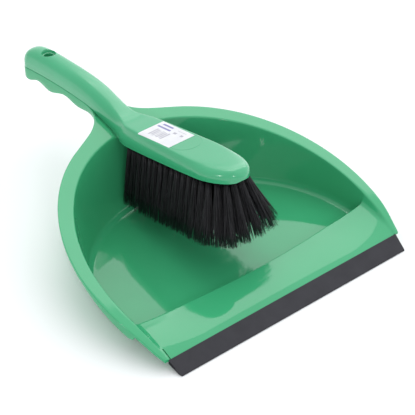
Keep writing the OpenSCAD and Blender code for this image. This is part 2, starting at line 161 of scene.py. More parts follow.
# ---------------------------------------------------------------- small maths
def mix(a, b, t):
    return a + (b - a) * t


def ease(t):
    u = np.clip(t, 0, 1)
    return u * u * (3 - 2 * u)


def curve(y, table):
    """A smooth curve through a table: cubic pieces whose slopes match at every point."""
    p = np.array(table, float)
    y = np.asarray(y, float)
    n = len(p)
    low, high = np.maximum(np.arange(n) - 1, 0), np.minimum(np.arange(n) + 1, n - 1)
    slope = (p[high, 1] - p[low, 1]) / (p[high, 0] - p[low, 0])
    i = np.clip(np.searchsorted(p[:, 0], y, side="right") - 1, 0, n - 2)
    h = p[i + 1, 0] - p[i, 0]
    t = np.clip((y - p[i, 0]) / h, 0, 1)
    ends = mix(p[i, 1], p[i + 1, 1], t * t * (3 - 2 * t))
    return ends + slope[i] * h * t * (1 - t) ** 2 - slope[i + 1] * h * t * t * (1 - t)


def place(p):
    """Millimetres behind the scraping edge to metres in the CAD frame."""
    p = np.asarray(p, float)
    return (p + np.array([0, SCRAPE_Y, 0])) * MM


def with_z(xy, z):
    return np.concatenate([xy, np.asarray(z, float)[..., None]], -1)


def bezier(a, c, b, steps):
    t = np.linspace(0, 1, steps)[:, None, None]
    return np.moveaxis((1 - t) ** 2 * a + 2 * t * (1 - t) * c + t * t * b, 0, 1)


def straight(a, b, steps):
    t = np.linspace(0, 1, steps)[:, None, None]
    return np.moveaxis(a + (b - a) * t, 0, 1)


def unit_rows(v):
    return v / np.maximum(np.linalg.norm(v, axis=-1, keepdims=True), 1e-9)


# ---------------------------------------------------------------- mesh building
class Shell:
    """Collects grids of points as quads and makes one welded mesh of them."""

    def __init__(self):
        self.points, self.faces, self.count = [], [], 0

    def add(self, points, faces):
        self.points.append(np.asarray(points, float).reshape(-1, 3))
        self.faces.extend([[i + self.count for i in f] for f in faces])
        self.count += len(self.points[-1])

    def grid(self, p):
        p = np.asarray(p, float)
        n, m = p.shape[:2]
        ids = np.arange(n * m).reshape(n, m)
        quads = np.stack([ids[:-1, :-1], ids[1:, :-1], ids[1:, 1:], ids[:-1, 1:]], -1)
        self.add(p, quads.reshape(-1, 4).tolist())

    def loft(self, rings):
        """A closed skin over rings of equal length, with a face over each end."""
        rings = np.asarray(rings, float)
        n, m = rings.shape[:2]
        ids = np.arange(n * m).reshape(n, m)
        wrap = np.concatenate([ids, ids[:, :1]], 1)
        quads = np.stack([wrap[:-1, :-1], wrap[1:, :-1], wrap[1:, 1:], wrap[:-1, 1:]], -1)
        self.add(rings, quads.reshape(-1, 4).tolist() + [ids[0].tolist(), ids[-1, ::-1].tolist()])

    def mirror(self):
        """Adds the mirror image in x of everything so far."""
        points = np.concatenate(self.points) * (-1, 1, 1)
        self.add(points, [list(reversed(f)) for f in self.faces])

    def make(self, name, sharp=32.0, close=False):
        """The welded mesh as an object; close puts a face over its one open rim."""
        mesh = bpy.data.meshes.new(name)
        mesh.from_pydata(place(np.concatenate(self.points)).tolist(), [], self.faces)
        bm = bmesh.new()
        bm.from_mesh(mesh)
        bmesh.ops.remove_doubles(bm, verts=bm.verts, dist=0.004 * MM)
        if close:
            rim = [e for e in bm.edges if e.is_boundary]
            bmesh.ops.contextual_create(bm, geom=rim)
        bmesh.ops.recalc_face_normals(bm, faces=bm.faces)
        bm.to_mesh(mesh)
        bm.free()
        obj = bpy.data.objects.new(name, mesh)
        bpy.context.scene.collection.objects.link(obj)
        soften(obj, sharp)
        return obj


def soften(obj, sharp):
    """Smooth shading, with edges sharper than the angle in degrees kept sharp."""
    mesh = obj.data
    mesh.polygons.foreach_set("use_smooth", [True] * len(mesh.polygons))
    mesh.set_sharp_from_angle(angle=math.radians(sharp))


def carve(obj, tool, operation):
    """Applies a boolean to obj and removes the tool."""
    cut = obj.modifiers.new("cut", "BOOLEAN")
    cut.operation, cut.solver, cut.object = operation, "EXACT", tool
    bpy.context.view_layer.update()
    done = bpy.data.meshes.new_from_object(obj.evaluated_get(bpy.context.evaluated_depsgraph_get()))
    obj.modifiers.clear()
    obj.data = done
    bpy.data.objects.remove(tool)


def lofted(name, rings, sharp=32.0):
    shell = Shell()
    shell.loft(rings)
    return shell.make(name, sharp)


def lathe(name, profile, sides=64):
    """A closed solid of revolution about the axis of the hanging holes."""
    turn = np.linspace(0, 2 * math.pi, sides, endpoint=False)
    return lofted(name, [
        [(r * math.cos(a), HANG_Y + r * math.sin(a), z) for a in turn]
        for r, z in profile
    ])


def both_sides(y, side):
    """A ring at y: half a section as (x, z), and its mirror image."""
    return [(x, y, z) for x, z in side] + [(-x, y, z) for x, z in reversed(side)]


# ---------------------------------------------------------------- pan: outlines and heights
def plan_x(y, plan, taper):
    front = plan[0] - taper * (plan[2] - y) ** 2
    back = plan[0] * np.sqrt(np.maximum(0, 1 - ((y - plan[2]) / plan[1]) ** 2))
    return np.where(y < plan[2], front, back)


def deck_z(y):
    return curve(y, DECK)


def flange_x(y):
    blend = (NECK_START - NECK_BLEND, NECK_START, NECK_START + NECK_BLEND)
    joined = [(q, float(plan_x(q, FLANGE_PLAN, 0))) for q in blend] + NECK
    return np.where(y < NECK_START, plan_x(y, FLANGE_PLAN, FLANGE_TAPER), curve(y, joined))


def skirt_drop(y):
    start = WALL + 0.2
    nose = np.sqrt(np.maximum(0, 1 - ((SKIRT_FULL - y) / (SKIRT_FULL - SKIRT_FRONT)) ** 2))
    drop = np.where(y < SKIRT_FRONT, start, mix(start, FRONT_SKIRT, nose))
    side = mix(FRONT_SKIRT, RIM_SKIRT, ease((y - SKIRT_FULL) / (SKIRT_BACK - SKIRT_FULL)))
    drop = np.where(y < SKIRT_FULL, drop, side)
    return np.where(y < LOBES[0][0], drop, curve(y, LOBES))


def raw_floor(x, y):
    r = RIDGE_Y + RIDGE_BOW * np.minimum(1, (x / RIDGE_BOW_X) ** 2)
    crest = RIDGE_HEIGHT + SIDE_RISE * np.maximum(0, np.abs(x) - SIDE_RISE_X) ** 2
    ramp = mix(RAMP_FOOT, crest, curve((y - LIP_DEPTH) / (r - LIP_DEPTH), RAMP_SHAPE))
    back = mix(crest, WALL, np.clip((y - r) / RIDGE_BACK, 0, 1))
    return np.where(y <= r, ramp, back)


def floor_z(x, y):
    """The floor, ridge and ramp, with the ridge's edges rounded by averaging along y."""
    return np.mean([raw_floor(x, y + d) for d in np.linspace(-RIDGE_ROUND, RIDGE_ROUND, 9)], 0)


# Stations along the pan's sides, closer together where the skirt starts and at the ridge.
SPREAD_FROM, SPREAD_TO = 60.0, 72.0
RIDGE_STATIONS = [
    49.6, 51, 52, 52.8, 53.4, 53.9, 54.4, 55, 55.8, 56.7, 57.6, 58.4, 59, 59.5, SPREAD_FROM, 61,
    63, 66, 69, SPREAD_TO,
]
FRONT_Y = np.concatenate([
    np.linspace(LIP_DEPTH, SKIRT_FRONT, 13),
    SKIRT_FULL - (SKIRT_FULL - SKIRT_FRONT) * np.cos(np.radians([12, 26, 42, 58, 74, 90])),
    RIDGE_STATIONS,
])
# Turns round the back in degrees: up to the neck, up to where the bowl meets the handle's
# deck, and on to the middle.
TURN_OUT, TURN_CUT = 55.5, 70.0
OUT_STEPS, CUT_STEPS, MIDDLE_STEPS = 39, 14, 16
BACK_TURN = np.radians(np.concatenate([
    np.linspace(0, TURN_OUT, OUT_STEPS + 1)[1:],
    np.linspace(TURN_OUT, TURN_CUT, CUT_STEPS + 1)[1:],
    np.linspace(TURN_CUT, 90, MIDDLE_STEPS + 1)[1:],
]))
FRONTS = len(FRONT_Y)
CORNER = FRONTS + OUT_STEPS + CUT_STEPS - 1
OUT_Y, CUT_Y = 200.0, 218.0


def outline(plan, taper):
    """Half an outline, from the lip round to the middle of the back."""
    spread = SPREAD_FROM + (FRONT_Y - SPREAD_FROM) * (plan[2] - SPREAD_FROM) / (SPREAD_TO - SPREAD_FROM)
    y = np.where(FRONT_Y > SPREAD_FROM, spread, FRONT_Y)
    front = np.stack([plan_x(y, plan, taper), y], 1)
    back = np.stack([plan[0] * np.cos(BACK_TURN), plan[2] + plan[1] * np.sin(BACK_TURN)], 1)
    return np.concatenate([front, back])


def grown(plan, d):
    return (plan[0] + d, plan[1] + d, plan[2])


def full_edge():
    """The outer edge from the lip, round the bowl, up the neck and round the handle's tip."""
    edge = outline(FLANGE_PLAN, FLANGE_TAPER)[:CORNER + 1]
    turn = np.degrees(BACK_TURN[:CORNER + 1 - FRONTS])
    free = turn > TURN_OUT
    y = OUT_Y + (turn[free] - TURN_OUT) / (TURN_CUT - TURN_OUT) * (CUT_Y - OUT_Y)
    edge[FRONTS:][free] = np.stack([flange_x(y), y], 1)
    y = np.concatenate([np.arange(CUT_Y + 1.5, NECK_END, 1.5), np.arange(NECK_END, GRIP_TIP, 2.5)])
    sides = np.stack([flange_x(y), y], 1)
    turn = np.radians(np.linspace(0, 90, 19))
    tip = np.stack([GRIP_HALF * np.cos(turn), GRIP_TIP + (SET_LENGTH - GRIP_TIP) * np.sin(turn)], 1)
    return np.concatenate([edge, sides, tip])


def edge_normals(edge):
    run = np.gradient(edge, axis=0)
    run /= np.linalg.norm(run, axis=1)[:, None]
    out = np.stack([run[:, 1], -run[:, 0]], 1)
    out[0] = (1, 0)
    out[-1] = (0, 1)
    return out


def wall_rows(out, limit=None):
    """Rows up the bowl's wall, for its inner face (out = 0) or its outer face (out = WALL):
    start, knee and end of the fillet, the corner at the rim, and the wall's direction.
    The outer face keeps inside limit."""
    foot = outline(grown(FLOOR_PLAN, out), FLOOR_TAPER)
    rim = outline(grown(RIM_PLAN, out), RIM_TAPER)
    if limit is not None:
        n = len(limit)
        rim[:n, 0] = np.minimum(rim[:n, 0], limit[:, 0] - 0.03)
        foot[:n, 0] = np.minimum(foot[:n, 0], limit[:, 0] - 0.05)
    top = deck_z(rim[:, 1]) - out
    inward = unit_rows(foot - rim)
    longest_bend = 0.42
    edge_x = foot[:, 0] + 6 * inward[:, 0]
    for _ in range(3):
        base = floor_z(edge_x, foot[:, 1] + out / 2) - out
        lift = np.arctan2(top - base, np.linalg.norm(rim - foot, axis=1))
        length = np.hypot(top - base, np.linalg.norm(rim - foot, axis=1))
        reach = np.minimum((FILLET + out) * np.tan(lift / 2), longest_bend * length)
        edge_x = foot[:, 0] + reach * inward[:, 0]
    start = foot + inward * reach[:, None]
    base = floor_z(start[:, 0], start[:, 1] + out / 2) - out
    slope = base - (floor_z(*(start + inward).T + np.array([[0], [out / 2]])) - out)
    knee = with_z(foot, base + np.clip(slope, 0, 0.6) * reach * 0.9)
    head = with_z(rim, top)
    up = unit_rows(head - knee)
    bend_end = knee + up * np.minimum(reach, longest_bend * length)[:, None]
    return with_z(start, base), knee, bend_end, head, up


# ---------------------------------------------------------------- pan
def edge_rows():
    """Rows round the free edge: rounded rim, skirt, its foot and the skirt's inner side."""
    edge = full_edge()
    normal = edge_normals(edge)
    drop = skirt_drop(edge[:, 1])
    low = np.maximum(drop - 0.3, WALL - 0.1)

    def inset(d, drop_now):
        xy = edge - normal * d
        return with_z(xy, deck_z(xy[:, 1]) - drop_now)

    turn = np.radians(np.linspace(0, 90, 5))
    rows = [inset(EDGE_ROUND * (1 - math.sin(a)), EDGE_ROUND * (1 - math.cos(a))) for a in turn]
    for share in (0.5, 1.0):
        rows.append(inset(0, mix(EDGE_ROUND, np.maximum(low, EDGE_ROUND), share)))
    rows += [inset(0.12, drop - 0.08), inset(0.35, drop), inset(WALL - 0.35, drop)]
    rows += [inset(WALL - 0.1, np.maximum(drop - 0.08, WALL)), inset(WALL, np.maximum(low, WALL))]
    rows.append(inset(WALL, WALL + np.minimum(0.6, np.maximum(low - WALL, 0))))
    rows.append(inset(WALL + 0.5, WALL))
    return rows


def add_bowl(shell, out, border, share):
    """One face of the bowl, inner (out = 0) or outer (out = WALL), joined to its border."""
    corner = border[CORNER]
    cut = np.stack([corner[0] * share, np.full(len(share), corner[1])], 1)
    far = np.concatenate([border[:CORNER + 1], with_z(cut, deck_z(cut[:, 1]) - out)])
    start, knee, bend_end, head, up = wall_rows(out, border[:CORNER + 1] if out else None)
    away = unit_rows(far - head)
    gap = np.linalg.norm(far - head, axis=1)
    bend = np.minimum(RIM_BEND_OUTER if out else RIM_BEND, 0.35 * gap)[:, None]
    shell.grid(bezier(start, knee, bend_end, FILLET_STEPS))
    shell.grid(straight(bend_end, head - up * bend, WALL_STEPS))
    shell.grid(bezier(head - up * bend, head, head + away * bend, BEND_STEPS))
    deck = straight(head + away * bend, far, FLANGE_STEPS)
    deck[:, 1:, 2] = deck_z(deck[:, 1:, 1]) - out
    shell.grid(deck)

    # Floor, ridge and ramp, whose rows follow the ridge's bow.
    across = np.linspace(0, 1, FLOOR_STEPS)[None, :]
    x = start[:, :1] * across
    y = np.repeat(start[:, 1:2], FLOOR_STEPS, 1)
    bow = RIDGE_BOW * (1 - np.minimum(1, (x / RIDGE_BOW_X) ** 2))
    y = y - bow * np.interp(y, [LIP_DEPTH, RIDGE_Y + RIDGE_BOW, SPREAD_FROM, SPREAD_TO], [0, 1, 1, 0])
    z = floor_z(x, y + out / 2) - out
    x[:, -1], y[:, -1], z[:, -1] = start.T
    shell.grid(np.stack([x, y, z], -1))


def add_handle_deck(shell, out, border, share):
    rows = border[CORNER:]
    xy = np.stack([rows[:, :1] * share, np.repeat(rows[:, 1:2], len(share), 1)], -1)
    shell.grid(with_z(xy, deck_z(xy[..., 1]) - out))


def bed_tool():
    """What the brush's neck lies in, with a soft upper edge."""
    stations = np.concatenate([[196.0], np.arange(NECK_START, BED_END - 1, 2.0), [BED_END - 1.2]])
    rings = []
    for y in stations:
        z = float(deck_z(y))
        b = min(float(brush_half(y)) + BED_MARGIN, float(flange_x(y)) - BED_RIM)
        deep = float(bed_drop(y))
        rings.append(both_sides(y, [
            (b - 0.5, z - deep), (b, z - 0.7 * deep), (b, z - 0.25 * deep), (b + 0.4, z + 0.1),
            (b + 0.4, z + 30),
        ]))
    return lofted("bed_tool", rings)


def pan_boss_tool():
    deck = float(deck_z(HANG_Y))
    return lathe("boss_tool", [
        (6.9, deck - 1.0), (6.9, deck - 0.1), (6.45, deck + 0.35), (6.3, deck + 1.0),
        (6.3, PAN_BOSS_TOP - 0.4), (5.9, PAN_BOSS_TOP),
    ])


def pan_hole_tool():
    chamfer = 0.5
    return lathe("hole_tool", [
        (HANG_R, float(deck_z(HANG_Y)) - 20), (HANG_R, PAN_BOSS_TOP - 0.4),
        (HANG_R + chamfer, PAN_BOSS_TOP + 0.1), (HANG_R + chamfer, 90),
    ])


def rib_tool():
    """The locating rib, lower at its two ends."""
    front = [(RIB_FRONT, 5.0), (RIB_FRONT + 0.5, 5.6), (RIB_FRONT + 1.4, RIB_HEIGHT)]
    middle = [(y, RIB_HEIGHT) for y in range(268, 307, 5)]
    back = [(RIB_BACK - 1.4, RIB_HEIGHT), (RIB_BACK - 0.5, 5.6), (RIB_BACK, 5.0)]
    rings = []
    for y, tall in front + middle + back:
        z = float(deck_z(y))
        rings.append(both_sides(y, [(4.2, z - 1), (4.0, z + 0.2), (3.9, z + tall - 0.5), (3.4, z + tall)]))
    return lofted("rib_tool", rings)


def tongue_tool():
    rings = []
    for y in (TONGUE_FRONT, LIP_DEPTH + 0.6):
        z = LIP_RISE - TONGUE_COVER - (LIP_DEPTH - y) * LIP_SLOPE
        rings.append(both_sides(y, [(TONGUE_HALF, z), (TONGUE_HALF, z - TONGUE_THICK)]))
    return lofted("tongue_tool", rings)


def slot_tool():
    rings = []
    for y in SLOT_STATIONS:
        low = float(floor_z(-116.0, max(y, LIP_DEPTH + 1))) - SLOT_DEEP
        high = low + SLOT_CLEAR
        rings.append([
            (SLOT_LEFT, y, low), (SLOT_RIGHT, y, low), (SLOT_RIGHT, y, high), (SLOT_LEFT, y, high),
        ])
    return lofted("slot_tool", rings)


def pan_body():
    shell = Shell()
    rows = edge_rows()
    shell.grid(np.stack(rows, 1))
    faces = ((0.0, rows[0]), (WALL, rows[-1]))
    share = np.cos(BACK_TURN[CORNER + 1 - FRONTS:]) / math.cos(math.radians(TURN_CUT))
    for out, border in faces:
        add_bowl(shell, out, border, share)
    share = np.concatenate([[1.0], share])
    for out, border in faces:
        add_handle_deck(shell, out, border, share)
    shell.mirror()
    pan = shell.make("pan_body", close=True)
    carve(pan, bed_tool(), "DIFFERENCE")
    carve(pan, pan_boss_tool(), "UNION")
    carve(pan, rib_tool(), "UNION")
    carve(pan, tongue_tool(), "UNION")
    carve(pan, pan_hole_tool(), "DIFFERENCE")
    carve(pan, slot_tool(), "DIFFERENCE")
    soften(pan, 35)
    return pan


# ---------------------------------------------------------------- brush
def quarter_oval(share):
    """Share of the width that is left at a share of the way along a round end."""
    return np.sqrt(np.maximum(0, 1 - share ** 2))


def brush_half(y):
    y = np.asarray(y, float)
    nose = BRUSH_HALF[0][1] * quarter_oval((NOSE_ROUND - y) / (NOSE_ROUND - NOSE_Y))
    tip = GRIP_HALF * quarter_oval(np.maximum(0, y - GRIP_TIP) / (BRUSH_END - GRIP_TIP))
    return np.where(y < NOSE_ROUND, nose, np.where(y < GRIP_TIP, curve(y, BRUSH_HALF), tip))


def near_nose(y):
    """0 along the stock, rising to 1 at the nose."""
    return float(ease((BLUNT_Y - y) / BLUNT_RUN))


def safe_half(y):
    """The half width, kept above zero at the two round ends."""
    return max(float(brush_half(y)), 0.4)


def bed_drop(y):
    return BED_DROP * (1 - ease((y - BED_RISE) / (BED_END - BED_RISE)))


def brush_low(y):
    nested = deck_z(y) + NEST_GAP - bed_drop(y)
    return np.where(y < STOCK_END, curve(y, STOCK_BOTTOM), nested)


def brush_high(y):
    return curve(y, BRUSH_TOP)


def spline(points, steps=5):
    """A cubic B-spline that starts on the first point and runs level through the last one,
    which lies on the middle line x = 0."""
    p = np.asarray(points, float)
    p = np.concatenate([p[:1], p[:1], p, p[-2:-1] * (-1, 1)])
    t = np.linspace(0, 1, steps + 1)[:, None]
    basis = [(1 - t) ** 3, 3 * t ** 3 - 6 * t ** 2 + 4, -3 * t ** 3 + 3 * t ** 2 + 3 * t + 1, t ** 3]
    rows = []
    for k in range(len(p) - 3):
        piece = sum(b * p[k + j] for j, b in enumerate(basis)) / 6
        rows.append(piece if k == 0 else piece[1:])
    return np.concatenate(rows)


def brush_section(y):
    """Half of the brush's outer section at y, from its lower edge to the middle of its top:
    a slab along the stock, a dome along the handle and, nearly, at the nose."""
    b = safe_half(y)
    z0, z1 = float(brush_low(y)), float(brush_high(y))
    h = z1 - z0
    s = max(float(ease((y - DOME_Y) / DOME_RUN)), NOSE_DOME * near_nose(y))
    band = min(h * 0.35, mix(4, 6, s))
    a = b - min(3.4, b * 0.3)
    r = min(0.45, b * 0.2)
    slab = [
        (b - r, z0), (b, z0), (b, z0 + r), (b, z0 + 0.75 * band), (b, z0 + 1.05 * band),
        (b - 0.25 * (b - a), z0 + mix(band, h, 0.45)), (mix(b, a, 0.8), z1 - 0.14 * h),
        (a * 0.98, z1 - 0.03 * h), (0.9 * a, z1), (0.5 * a, z1), (0, z1),
    ]
    dome = [(b - r, z0), (b, z0), (b, z0 + r), (b, z0 + band - 0.7)]
    for q in np.radians([2, 20, 38, 55, 70, 81, 90]):
        x = b * max(math.cos(q), 0) ** DOME_POWER
        dome.append((x, z0 + band + (h - band) * math.sin(q) ** DOME_POWER))
    return spline(mix(np.array(slab), np.array(dome), s))


def brush_inside(y, edge_x):
    """The underside: flat under the stock, from edge_x inwards, and a hollow arch under the
    handle."""
    z0 = float(brush_low(y))
    if not CAVITY_FRONT < y < CAVITY_BACK:
        return [(edge_x * (1 - k / (len(ARCH) - 1)), z0) for k in range(len(ARCH))]
    tip = GRIP_HALF - BRUSH_WALL
    tip *= float(quarter_oval(max(0, y - GRIP_TIP) / (CAVITY_BACK - GRIP_TIP)))
    w = max(0.5, min(safe_half(y) - BRUSH_WALL, tip))
    roof = max(z0 + 1, float(brush_high(y)) - BRUSH_WALL)
    return [(w * x, mix(z0, roof, z)) for x, z in ARCH]


def brush_stations():
    """Where the brush's sections lie: closer together round the nose and the handle's tip,
    just inside the cavity's front, and on both sides of its back."""
    turn = np.radians(np.concatenate([[2.5, 5, 8], np.arange(12, 89, 4)]))
    nose = NOSE_ROUND - (NOSE_ROUND - NOSE_Y) * np.cos(turn)
    turn = np.radians(np.concatenate([np.arange(0, 84, 6), [86, 88.4]]))
    tip = GRIP_TIP + (BRUSH_END - GRIP_TIP) * np.sin(turn)
    stock = np.arange(NOSE_ROUND, CAVITY_FRONT, 2.0)
    handle = np.arange(CAVITY_FRONT + 2.0, GRIP_TIP, 2.0)
    cavity = [CAVITY_FRONT + 0.02, CAVITY_BACK - 0.02, CAVITY_BACK + 0.02]
    return np.sort(np.concatenate([nose, stock, handle, tip, cavity]))


def top_at(x, y):
    """Height of the brush's top surface at (x, y)."""
    s = brush_section(y)
    s = s[len(s) // 3:]
    return float(np.interp(abs(x), s[::-1, 0], s[::-1, 1]))


def mark_tool():
    """A shallow round groove on the stock, left by the mould."""
    rings = []
    for a in np.linspace(0, 2 * math.pi, 96, endpoint=False):
        ring = []
        for r, d in ((-0.6, 0.3), (0.6, 0.3), (0.45, -0.1), (-0.45, -0.1), (-0.6, 0.3)):
            x, y = (MARK_R + r) * math.cos(a), MARK_Y + (MARK_R + r) * math.sin(a)
            ring.append((x, y, top_at(x, y) + d))
        rings.append(ring)
    shell = Shell()
    shell.grid(rings + rings[:1])
    return shell.make("mark_tool")


def brush_body():
    rings = []
    for y in brush_stations():
        outer = brush_section(y)
        inner = brush_inside(y, outer[0][0])
        half = [(x, y, z) for x, z in inner[::-1]] + [(x, y, z) for x, z in outer]
        rings.append(half + [(-x, y, z) for x, y, z in reversed(half[1:-1])])
    brush = lofted("brush_body", rings, sharp=38)

    roof = float(brush_high(HANG_Y))
    boss = [(BRUSH_BOSS_R, BRUSH_BOSS_LOW), (BRUSH_BOSS_R, roof - 2.0)]
    carve(brush, lathe("boss_tool", boss), "UNION")
    floor = roof - HANG_DISH_DEPTH
    dish = [(HANG_R, 60), (HANG_R, floor), (HANG_R + 1.0, floor + 0.35)]
    for wider, rise in ((-0.9, -1.6), (-0.4, -0.8), (0.5, 0.0), (2.0, 0.8), (2.5, 2.0)):
        dish.append((HANG_DISH_R + wider, roof + rise))
    carve(brush, lathe("dish_tool", dish), "DIFFERENCE")
    carve(brush, mark_tool(), "DIFFERENCE")
    soften(brush, 35)
    return brush


# ---------------------------------------------------------------- lip
def rubber_lip():
    """The blade's section, with its slot for the tongue, drawn along the pan's width."""
    back, toe = LIP_DEPTH - 0.1, 3.0
    slot_top = LIP_RISE - LIP_TIP + 0.1
    slot_low = slot_top - TONGUE_THICK - 0.2
    slot_end = 7.2
    run = (back - slot_end) * LIP_SLOPE
    profile = np.array([
        (0.25, 0), (toe - 0.3, 0), (toe + 0.3, 0.12), (back - 0.3, 4.85), (back, 5.2),
        (back, slot_low), (slot_end, slot_low - run), (slot_end, slot_top - run),
        (back, slot_top), (back, LIP_RISE - 0.3), (back - 0.3, LIP_RISE - 0.1),
        (0.5, LIP_TIP + 0.27), (0.12, LIP_TIP), (0, LIP_TIP * 0.55), (0.05, 0.15),
    ])
    middle = profile.mean(0)
    stations = [(s, 1.0) for s in np.linspace(-0.997, 0.997, 25)]
    stations = [(-1, 0.93), (-1, 0.99)] + stations + [(1, 0.99), (1, 0.93)]
    rings = []
    for side, keep in stations:
        ring = middle + (profile - middle) * keep
        rings.append([(side * (LIP_HALF + LIP_FLARE * y / back), y, z) for y, z in ring])
    return lofted("lip_blade", rings, sharp=40)


# ---------------------------------------------------------------- bristles
def row_place(row):
    """Distance of a row of tufts behind the scraping edge. Row 1 is at the heel."""
    return FIRST_ROW + (ROWS - row) * (LAST_ROW - FIRST_ROW) / (ROWS - 1)


def tuft_places(y):
    """Root and direction of each tuft in the row at y. The tufts splay sideways and lean
    forward, most of all at the nose."""
    reach = float(brush_half(y)) - HOLE_MARGIN
    count = int(2 * reach / TUFT_PITCH) + 1
    side = mix(*SIDE_SPLAY, near_nose(y)) / SPLAY_X
    front = mix(*LEAN, near_nose(y)) - HEEL_LEAN * float(ease((y - HEEL_Y) / HEEL_RUN))
    for k in range(count):
        x = reach * (2 * k / (count - 1) - 1)
        yield np.array([x, y, float(brush_low(y))]), np.array([side * x, -front, -1.0])


def filament_points(root, axis, u, v, clump, fan):
    """Rings of points along one filament that leaves its tuft's root and splays."""
    angle, r = rng.uniform(0, 2 * math.pi), math.sqrt(rng.uniform(0, 1))
    start = TUFT_R * r * np.array([math.cos(angle), math.sin(angle)])
    end = start / TUFT_R * rng.normal(4.1 + 1.5 * fan, 0.6) + clump
    end += rng.normal(0, 0.9 + 0.5 * fan, 2)
    wear = abs(rng.normal(0, 0.011))
    short = 0.05 * (rng.uniform() > 0.9) * rng.uniform()
    length = BRISTLE * (1 - wear - short)
    bow = rng.normal(0, 0.5, 2)
    spin = rng.uniform(0, 2 * math.pi)
    along = -ROOT_DEPTH + FILAMENT_STEPS * (length + ROOT_DEPTH)
    off = start[None] + (end - start)[None] * FILAMENT_STEPS[:, None] ** 1.25
    off += np.sin(FILAMENT_STEPS * math.pi)[:, None] * bow[None]
    line = root + axis * along[:, None] + u * off[:, :1] + v * off[:, 1:]
    thick = np.interp(FILAMENT_STEPS, [0, 0.7, 1], [0.2, 0.2, 0.1])
    turns = [spin + s * 2 * math.pi / FILAMENT_SIDES for s in range(FILAMENT_SIDES)]
    return [p + t * (math.cos(q) * u + math.sin(q) * v) for p, t in zip(line, thick) for q in turns]


def filament_faces():
    """Faces of one filament: its sides, then its free end and its root."""
    n = FILAMENT_SIDES
    last = (len(FILAMENT_STEPS) - 1) * n
    faces = []
    for low in range(0, last, n):
        for s in range(n):
            t = (s + 1) % n
            faces.append([low + s, low + t, low + n + t, low + n + s])
    faces.append([last + s for s in range(n)])
    faces.append([s for s in reversed(range(n))])
    return faces


def bristle_row(row):
    """One row of tufts, drawn filament by filament. Nose tufts have more and splay more."""
    y = row_place(row)
    fan = float(ease((FAN_Y - y) / FAN_RUN))
    one = filament_faces()
    points, faces = [], []
    for root, axis in tuft_places(y):
        axis = axis / np.linalg.norm(axis)
        u = np.cross(axis, (0, 1, 0))
        u /= np.linalg.norm(u)
        v = np.cross(axis, u)
        clump = rng.normal(0, 0.35 + 0.5 * fan, 2)
        for _ in range(int(FILAMENTS * (1 + 0.4 * fan))):
            base = len(points)
            points += filament_points(root, axis, u, v, clump, fan)
            faces += [[base + i for i in face] for face in one]
    mesh = bpy.data.meshes.new("bristle_row_%02d" % row)
    mesh.from_pydata(place(np.array(points)).tolist(), [], faces)
    mesh.polygons.foreach_set("use_smooth", [True] * len(mesh.polygons))
    obj = bpy.data.objects.new(mesh.name, mesh)
    bpy.context.scene.collection.objects.link(obj)
    return obj


# ---------------------------------------------------------------- label
def print_bars():
    """Plain bars: (low x, high x, low y, high y) from the label's middle, and the ink."""
    violet, grey = 1, 2
    bars = [(4.6, 7.0, 1.5, 17.5, violet), (9.4, 11.4, 3.0, 15.5, violet)]
    bars += [(4.0, 7.0, -6.5, -3.2, grey), (4.0, 6.6, -14.5, -11.5, grey)]
    bars.append((9.5, 10.4, -14.0, -3.0, grey))
    for k in range(7):
        bars.append((-8.5 + 0.5 * (k % 2), 2.4 - 0.7 * (k % 3), 11.6 - 2.4 * k, 12.9 - 2.4 * k, grey))
    return bars


def paper_label():
    """A thin sheet laid on the stock, printed with plain bars only."""
    nx, ny = int(LABEL_WIDE / LABEL_CELL), int(LABEL_LONG / LABEL_CELL)
    xs = LABEL_X + np.linspace(-LABEL_WIDE / 2, LABEL_WIDE / 2, nx + 1)
    ys = LABEL_Y + np.linspace(-LABEL_LONG / 2, LABEL_LONG / 2, ny + 1)
    top = np.array([[(x, y, top_at(x, y)) for x in xs] for y in ys])
    upper = top + (0, 0, LABEL_THICK)
    lower = top - (0, 0, LABEL_THICK * 0.2)
    shell = Shell()
    shell.grid(upper)
    shell.grid(lower[::-1])
    for edge in (np.s_[0], np.s_[-1, ::-1], np.s_[::-1, 0], np.s_[:, -1]):
        shell.grid(np.stack([lower[edge], upper[edge]]))
    obj = shell.make("paper_label", sharp=40)
    bars = print_bars()
    for face in obj.data.polygons:
        if face.normal.z < 0.5:
            continue
        x, y = face.center.x / MM - LABEL_X, face.center.y / MM - SCRAPE_Y - LABEL_Y
        for x0, x1, y0, y1, ink in bars:
            if x0 < x < x1 and y0 < y < y1:
                face.material_index = ink
    return obj


